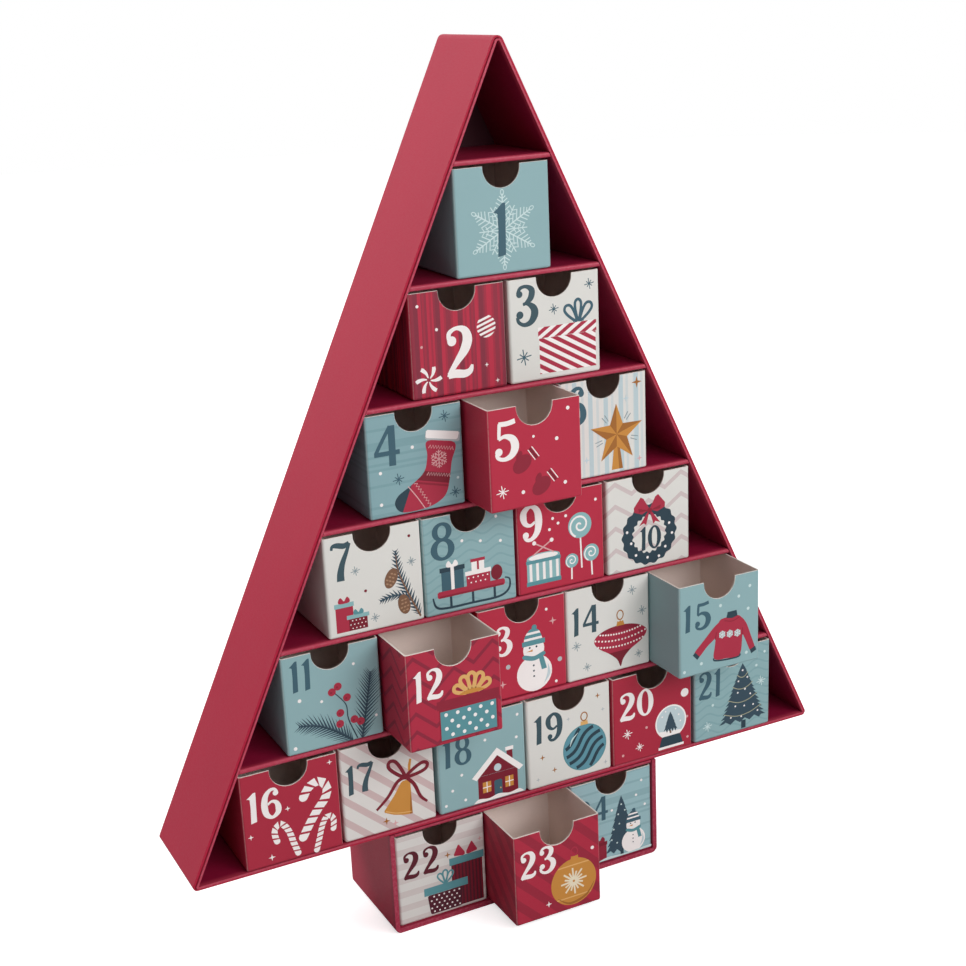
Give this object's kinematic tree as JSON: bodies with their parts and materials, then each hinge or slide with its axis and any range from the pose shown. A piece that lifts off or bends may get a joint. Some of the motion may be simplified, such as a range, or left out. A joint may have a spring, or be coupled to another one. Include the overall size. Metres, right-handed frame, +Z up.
{
  "type": "christmas tree advent calendar",
  "caption": "Tree-shaped card advent calendar on a trunk: crimson frame with shelves that hold printed, numbered slide-out drawers with finger notches.",
  "frame": {"origin": "under the middle of the trunk, on the surface that the calendar stands on", "axes": "+X to the right seen from the front, +Y from the front to the back, +Z up"},
  "size_m": [0.3606, 0.0874, 0.4394],
  "materials": {
    "crimson_board": "satin printed paper over board",
    "dark_board": "matt printed board",
    "teal_card": "satin printed card",
    "red_card": "satin printed card",
    "white_card": "satin printed card",
    "blush_card": "satin printed card"
  },
  "bodies": {
    "tree": {"cover_left": "crimson_board", "cover_right": "crimson_board", "cover_base": "crimson_board", "liner_left": "crimson_board", "liner_right": "crimson_board", "liner_base": "crimson_board", "back_board": "dark_board", "shelf_1": "crimson_board", "shelf_2": "crimson_board", "shelf_3": "crimson_board", "shelf_4": "crimson_board", "shelf_5": "crimson_board", "shelf_6": "crimson_board", "trunk_left": "crimson_board", "trunk_right": "crimson_board", "trunk_floor": "crimson_board", "trunk_lid": "crimson_board", "trunk_back": "dark_board"},
    "drawer_01": {"drawer_01": "teal_card"},
    "drawer_02": {"drawer_02": "red_card"},
    "drawer_03": {"drawer_03": "white_card"},
    "drawer_04": {"drawer_04": "teal_card"},
    "drawer_05": {"drawer_05": "red_card"},
    "drawer_06": {"drawer_06": "white_card"},
    "drawer_07": {"drawer_07": "white_card"},
    "drawer_08": {"drawer_08": "teal_card"},
    "drawer_09": {"drawer_09": "red_card"},
    "drawer_10": {"drawer_10": "white_card"},
    "drawer_11": {"drawer_11": "teal_card"},
    "drawer_12": {"drawer_12": "red_card"},
    "drawer_13": {"drawer_13": "red_card"},
    "drawer_14": {"drawer_14": "white_card"},
    "drawer_15": {"drawer_15": "teal_card"},
    "drawer_16": {"drawer_16": "red_card"},
    "drawer_17": {"drawer_17": "blush_card"},
    "drawer_18": {"drawer_18": "teal_card"},
    "drawer_19": {"drawer_19": "white_card"},
    "drawer_20": {"drawer_20": "red_card"},
    "drawer_21": {"drawer_21": "teal_card"},
    "drawer_22": {"drawer_22": "blush_card"},
    "drawer_23": {"drawer_23": "red_card"},
    "drawer_24": {"drawer_24": "teal_card"}
  },
  "joints": [
    {"name": "drawer_01_slide", "type": "slide", "parent": "tree", "child": "drawer_01", "axis": [0, -1, 0], "range_m": [-0.0011, 0.0449]},
    {"name": "drawer_02_slide", "type": "slide", "parent": "tree", "child": "drawer_02", "axis": [0, -1, 0], "range_m": [-0.0003, 0.0457]},
    {"name": "drawer_03_slide", "type": "slide", "parent": "tree", "child": "drawer_03", "axis": [0, -1, 0], "range_m": [-0.0004, 0.0456]},
    {"name": "drawer_04_slide", "type": "slide", "parent": "tree", "child": "drawer_04", "axis": [0, -1, 0], "range_m": [-0.0003, 0.0457]},
    {"name": "drawer_05_slide", "type": "slide", "parent": "tree", "child": "drawer_05", "axis": [0, -1, 0], "range_m": [-0.0238, 0.0222]},
    {"name": "drawer_06_slide", "type": "slide", "parent": "tree", "child": "drawer_06", "axis": [0, -1, 0], "range_m": [-0.0008, 0.0452]},
    {"name": "drawer_07_slide", "type": "slide", "parent": "tree", "child": "drawer_07", "axis": [0, -1, 0], "range_m": [-0.0014, 0.0446]},
    {"name": "drawer_08_slide", "type": "slide", "parent": "tree", "child": "drawer_08", "axis": [0, -1, 0], "range_m": [-0.0017, 0.0443]},
    {"name": "drawer_09_slide", "type": "slide", "parent": "tree", "child": "drawer_09", "axis": [0, -1, 0], "range_m": [-0.0013, 0.0447]},
    {"name": "drawer_10_slide", "type": "slide", "parent": "tree", "child": "drawer_10", "axis": [0, -1, 0], "range_m": [-0.0015, 0.0445]},
    {"name": "drawer_11_slide", "type": "slide", "parent": "tree", "child": "drawer_11", "axis": [0, -1, 0], "range_m": [-0.0015, 0.0445]},
    {"name": "drawer_12_slide", "type": "slide", "parent": "tree", "child": "drawer_12", "axis": [0, -1, 0], "range_m": [-0.0296, 0.0164]},
    {"name": "drawer_13_slide", "type": "slide", "parent": "tree", "child": "drawer_13", "axis": [0, -1, 0], "range_m": [-0.0004, 0.0456]},
    {"name": "drawer_14_slide", "type": "slide", "parent": "tree", "child": "drawer_14", "axis": [0, -1, 0], "range_m": [-0.0006, 0.0454]},
    {"name": "drawer_15_slide", "type": "slide", "parent": "tree", "child": "drawer_15", "axis": [0, -1, 0], "range_m": [-0.0279, 0.0181]},
    {"name": "drawer_16_slide", "type": "slide", "parent": "tree", "child": "drawer_16", "axis": [0, -1, 0], "range_m": [-0.0017, 0.0443]},
    {"name": "drawer_17_slide", "type": "slide", "parent": "tree", "child": "drawer_17", "axis": [0, -1, 0], "range_m": [-0.0009, 0.0451]},
    {"name": "drawer_18_slide", "type": "slide", "parent": "tree", "child": "drawer_18", "axis": [0, -1, 0], "range_m": [-0.0009, 0.0451]},
    {"name": "drawer_19_slide", "type": "slide", "parent": "tree", "child": "drawer_19", "axis": [0, -1, 0], "range_m": [-0.0019, 0.0441]},
    {"name": "drawer_20_slide", "type": "slide", "parent": "tree", "child": "drawer_20", "axis": [0, -1, 0], "range_m": [-0.0025, 0.0435]},
    {"name": "drawer_21_slide", "type": "slide", "parent": "tree", "child": "drawer_21", "axis": [0, -1, 0], "range_m": [-0.0023, 0.0437]},
    {"name": "drawer_22_slide", "type": "slide", "parent": "tree", "child": "drawer_22", "axis": [0, -1, 0], "range_m": [-0.0003, 0.0457]},
    {"name": "drawer_23_slide", "type": "slide", "parent": "tree", "child": "drawer_23", "axis": [0, -1, 0], "range_m": [-0.0312, 0.0148]},
    {"name": "drawer_24_slide", "type": "slide", "parent": "tree", "child": "drawer_24", "axis": [0, -1, 0], "range_m": [-0.0003, 0.0457]}
  ]
}
